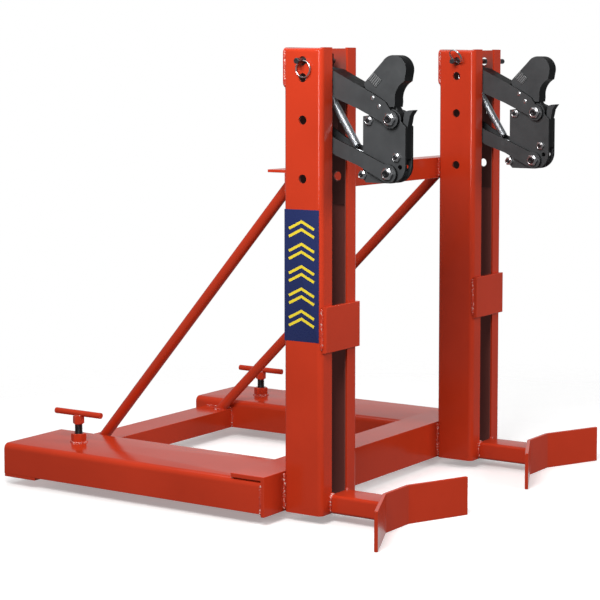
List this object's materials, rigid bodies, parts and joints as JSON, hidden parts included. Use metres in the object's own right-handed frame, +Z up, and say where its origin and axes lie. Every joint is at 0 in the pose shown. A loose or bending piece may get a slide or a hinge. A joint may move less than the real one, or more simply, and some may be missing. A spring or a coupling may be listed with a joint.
{
  "type": "fork mounted drum gripper",
  "caption": "Fork-mounted drum lifting attachment: sleeves for lift-truck forks, two slotted masts, spring-lifted parallel-arm beak grippers, V belly plates and T-handle fork clamps.",
  "frame": {"origin": "middle of the underside of the front cross angle's upright leg, midway between the masts", "axes": "+Z up, -Y towards the drums, +Y towards the truck, +X to the right seen from the front"},
  "size_m": [1.0778, 1.0675, 1.036],
  "materials": {
    "frame_paint": "gloss red-orange enamel over welded steel",
    "gripper_black": "satin black paint on cut plate",
    "carriage_black": "satin black paint",
    "zinc_hardware": "bright zinc plate",
    "spring_steel": "bright zinc-plated spring wire",
    "detent_pin_steel": "dark oiled steel",
    "screw_black": "black oxide thread"
  },
  "bodies": {
    "frame": {"front_cross_angle": "frame_paint", "rear_cross_angle": "frame_paint", "upper_cross_angle": "frame_paint", "left_mast": "frame_paint", "left_mast_top_plate": "frame_paint", "left_collar_plate": "frame_paint", "left_fork_sleeve": "frame_paint", "left_sleeve_strap": "frame_paint", "left_support_arm": "frame_paint", "left_belly_plate": "frame_paint", "left_brace_strut": "frame_paint", "left_clamp_nut": "frame_paint", "left_carriage": "carriage_black", "left_rear_pivot_bolts": "zinc_hardware", "right_mast": "frame_paint", "right_mast_top_plate": "frame_paint", "right_collar_plate": "frame_paint", "right_fork_sleeve": "frame_paint", "right_sleeve_strap": "frame_paint", "right_support_arm": "frame_paint", "right_belly_plate": "frame_paint", "right_brace_strut": "frame_paint", "right_clamp_nut": "frame_paint", "right_carriage": "carriage_black", "right_rear_pivot_bolts": "zinc_hardware"},
    "left_pin": {"left_detent_pin": "detent_pin_steel", "left_pin_ring": "zinc_hardware"},
    "left_upper_arm_set": {"left_upper_arm": "gripper_black", "left_beak": "gripper_black", "left_beak_pins": "zinc_hardware", "left_upper_pivot_bolt": "zinc_hardware"},
    "left_lower_arm_set": {"left_lower_arm": "gripper_black", "left_spring_anchor_pin": "gripper_black"},
    "left_head": {"left_head_plates": "gripper_black", "left_lower_jaw": "gripper_black", "left_head_bolts": "zinc_hardware", "left_lower_pivot_bolt": "zinc_hardware"},
    "left_spring_coil": {"left_spring": "spring_steel"},
    "left_spring_lower_eye": {"left_spring_hook": "spring_steel"},
    "left_clamp_foot": {"left_clamp_pad": "zinc_hardware"},
    "left_clamp_handle": {"left_clamp_screw": "screw_black", "left_clamp_bar": "frame_paint"},
    "right_pin": {"right_detent_pin": "detent_pin_steel", "right_pin_ring": "zinc_hardware"},
    "right_upper_arm_set": {"right_upper_arm": "gripper_black", "right_beak": "gripper_black", "right_beak_pins": "zinc_hardware", "right_upper_pivot_bolt": "zinc_hardware"},
    "right_lower_arm_set": {"right_lower_arm": "gripper_black", "right_spring_anchor_pin": "gripper_black"},
    "right_head": {"right_head_plates": "gripper_black", "right_lower_jaw": "gripper_black", "right_head_bolts": "zinc_hardware", "right_lower_pivot_bolt": "zinc_hardware"},
    "right_spring_coil": {"right_spring": "spring_steel"},
    "right_spring_lower_eye": {"right_spring_hook": "spring_steel"},
    "right_clamp_foot": {"right_clamp_pad": "zinc_hardware"},
    "right_clamp_handle": {"right_clamp_screw": "screw_black", "right_clamp_bar": "frame_paint"}
  },
  "joints": [
    {"name": "left_pin_pull", "type": "slide", "parent": "frame", "child": "left_pin", "axis": [-1, 0, 0], "range_m": [0, 0.13]},
    {"name": "left_arm_swing", "type": "hinge", "parent": "frame", "child": "left_upper_arm_set", "pos_m": [-0.342, -0.05465, 0.951], "axis": [1, 0, 0], "range_deg": [0, 12], "stiffness_Nm_per_rad": 25, "springref_deg": -45.84},
    {"name": "left_lower_arm_swing", "type": "hinge", "parent": "frame", "child": "left_lower_arm_set", "pos_m": [-0.342, -0.05015, 0.8355], "axis": [1, 0, 0], "range_deg": [0, 12]},
    {"name": "left_head_level", "type": "hinge", "parent": "left_upper_arm_set", "child": "left_head", "pos_m": [-0.342, -0.24475, 0.8635], "axis": [1, 0, 0], "range_deg": [-12, 0]},
    {"name": "left_spring_swing", "type": "hinge", "parent": "frame", "child": "left_spring_coil", "pos_m": [-0.342, -0.05465, 0.951], "axis": [1, 0, 0], "range_deg": [0, 6.4]},
    {"name": "left_spring_stretch", "type": "slide", "parent": "left_spring_coil", "child": "left_spring_lower_eye", "axis": [0, -0.535, -0.8449], "range_m": [0, 0.0132]},
    {"name": "left_clamp_travel", "type": "slide", "parent": "frame", "child": "left_clamp_foot", "axis": [0, 0, -1], "range_m": [0, 0.0201]},
    {"name": "left_clamp_turn", "type": "hinge", "parent": "left_clamp_foot", "child": "left_clamp_handle", "pos_m": [-0.382, 0.60875, 0.1], "axis": [0, 0, -1], "range_deg": [0, 2834]},
    {"name": "right_pin_pull", "type": "slide", "parent": "frame", "child": "right_pin", "axis": [-1, 0, 0], "range_m": [0, 0.25]},
    {"name": "right_arm_swing", "type": "hinge", "parent": "frame", "child": "right_upper_arm_set", "pos_m": [0.342, -0.05465, 0.951], "axis": [1, 0, 0], "range_deg": [0, 12], "stiffness_Nm_per_rad": 25, "springref_deg": -45.84},
    {"name": "right_lower_arm_swing", "type": "hinge", "parent": "frame", "child": "right_lower_arm_set", "pos_m": [0.342, -0.05015, 0.8355], "axis": [1, 0, 0], "range_deg": [0, 12]},
    {"name": "right_head_level", "type": "hinge", "parent": "right_upper_arm_set", "child": "right_head", "pos_m": [0.342, -0.24475, 0.8635], "axis": [1, 0, 0], "range_deg": [-12, 0]},
    {"name": "right_spring_swing", "type": "hinge", "parent": "frame", "child": "right_spring_coil", "pos_m": [0.342, -0.05465, 0.951], "axis": [1, 0, 0], "range_deg": [0, 6.4]},
    {"name": "right_spring_stretch", "type": "slide", "parent": "right_spring_coil", "child": "right_spring_lower_eye", "axis": [0, -0.535, -0.8449], "range_m": [0, 0.0132]},
    {"name": "right_clamp_travel", "type": "slide", "parent": "frame", "child": "right_clamp_foot", "axis": [0, 0, -1], "range_m": [0, 0.0201]},
    {"name": "right_clamp_turn", "type": "hinge", "parent": "right_clamp_foot", "child": "right_clamp_handle", "pos_m": [0.382, 0.60875, 0.1], "axis": [0, 0, -1], "range_deg": [0, 2834]}
  ],
  "couplings": [
    {"joint": "left_lower_arm_swing", "follows": "left_arm_swing", "ratio": 1},
    {"joint": "left_head_level", "follows": "left_arm_swing", "ratio": -1},
    {"joint": "left_spring_swing", "follows": "left_arm_swing", "ratio": 0.50798},
    {"joint": "left_spring_stretch", "follows": "left_arm_swing", "m_per_rad": 0.060411},
    {"joint": "left_clamp_travel", "follows": "left_clamp_turn", "m_per_rad": 0.00040425},
    {"joint": "right_lower_arm_swing", "follows": "right_arm_swing", "ratio": 1},
    {"joint": "right_head_level", "follows": "right_arm_swing", "ratio": -1},
    {"joint": "right_spring_swing", "follows": "right_arm_swing", "ratio": 0.50798},
    {"joint": "right_spring_stretch", "follows": "right_arm_swing", "m_per_rad": 0.060411},
    {"joint": "right_clamp_travel", "follows": "right_clamp_turn", "m_per_rad": 0.00040425}
  ]
}
